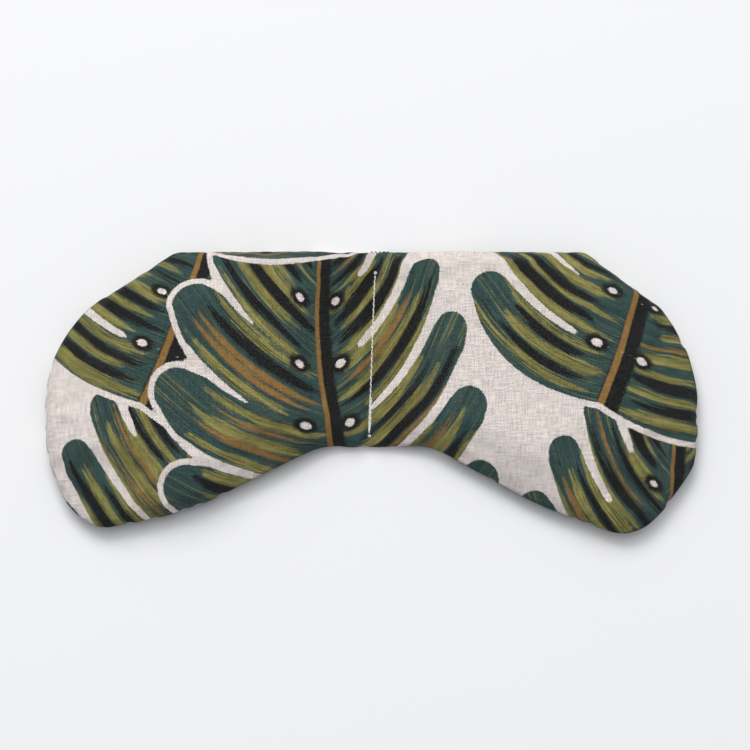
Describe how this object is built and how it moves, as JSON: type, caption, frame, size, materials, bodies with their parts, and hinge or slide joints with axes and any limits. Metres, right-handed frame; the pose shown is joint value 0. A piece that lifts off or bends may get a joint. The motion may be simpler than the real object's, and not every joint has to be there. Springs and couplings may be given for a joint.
{
  "type": "weighted eye pillow",
  "caption": "Flat seed-filled cloth eye pillow with two lobes, a nose arch and a stitched centre fold, sewn from leaf-print cloth.",
  "frame": {"origin": "on the resting surface, under the middle of the pillow's overall box", "axes": "+X from lobe to lobe, towards the right lobe seen from the front; +Y towards the straight top edge; +Z out of the front face, up as the pillow lies on its back"},
  "size_m": [0.232, 0.1028, 0.018],
  "materials": {
    "printed_cloth": "plain-weave cotton and linen with a printed leaf pattern, matt",
    "seed_fill": "small loose seeds, slightly glossy, packed",
    "divider_thread": "off-white twisted sewing thread",
    "seam_thread": "dark green-grey twisted sewing thread"
  },
  "bodies": {
    "left_half": {"front_panel_left": "printed_cloth", "back_panel_left": "printed_cloth", "fill_left": "seed_fill", "seam_needle_thread_left": "seam_thread", "seam_bobbin_thread_left": "seam_thread", "closing_thread_left": "seam_thread", "divider_needle_thread": "divider_thread", "divider_bobbin_thread": "divider_thread"},
    "right_half": {"front_panel_right": "printed_cloth", "back_panel_right": "printed_cloth", "fill_right": "seed_fill", "seam_needle_thread_right": "seam_thread", "seam_bobbin_thread_right": "seam_thread", "closing_thread_right": "seam_thread"}
  },
  "joints": [
    {"name": "centre_fold", "type": "hinge", "parent": "left_half", "child": "right_half", "pos_m": [-0.00044, 0, 0.0022], "axis": [0.04, 0.9992, 0], "range_deg": [-120, 130]}
  ]
}
